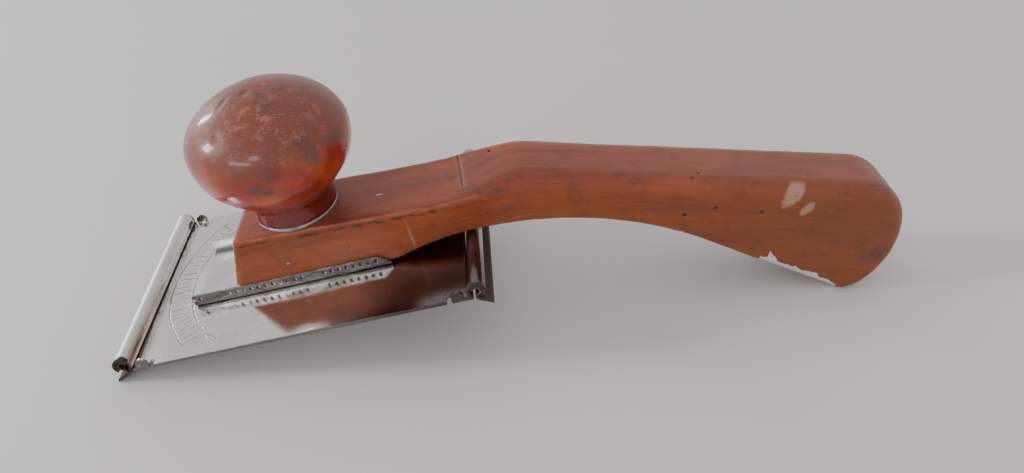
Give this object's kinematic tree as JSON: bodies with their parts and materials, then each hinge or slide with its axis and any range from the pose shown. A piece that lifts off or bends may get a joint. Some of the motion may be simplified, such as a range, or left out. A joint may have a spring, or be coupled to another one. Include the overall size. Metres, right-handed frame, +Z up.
{
  "type": "two-handed hook-blade scraper",
  "caption": "Old two-handed wood scraper: turned front knob and arched wooden grip on a plated steel sole with a hooked blade slid into a rolled seat at each end.",
  "frame": {"origin": "on the ground, under the centre of the bounding box, with the tool lying as it rests on its front blade and the heel of its butt", "axes": "+X from the front blade toward the butt of the grip, +Y along the blades to the far side, +Z up; the sole plate rises 12 degrees toward +X"},
  "size_m": [0.2154, 0.0636, 0.0681],
  "materials": {
    "nickel_plate": "worn nickel plate on pressed sheet steel, mirror-like, rusted in the folds",
    "handle_wood": "red-brown stained and lacquered hardwood, rubbed and dented",
    "knob_wood": "turned hardwood in glossy red lacquer, scuffed on top",
    "washer_steel": "dull grey steel",
    "screw_steel": "dull steel",
    "blade_steel": "dark, rusted tool steel"
  },
  "bodies": {
    "tool": {"sole_plate": "nickel_plate", "handle_saddle": "nickel_plate", "handle": "handle_wood", "knob": "knob_wood", "knob_washer": "washer_steel", "knob_screw": "screw_steel", "plate_screws": "screw_steel"},
    "front_blade": {"front_blade": "blade_steel"},
    "rear_blade": {"rear_blade": "blade_steel"}
  },
  "joints": [
    {"name": "front_blade_slide", "type": "slide", "parent": "tool", "child": "front_blade", "axis": [0, 1, 0], "range_m": [-0.03, 0.03]},
    {"name": "rear_blade_slide", "type": "slide", "parent": "tool", "child": "rear_blade", "axis": [0, 1, 0], "range_m": [-0.03, 0.03]}
  ]
}
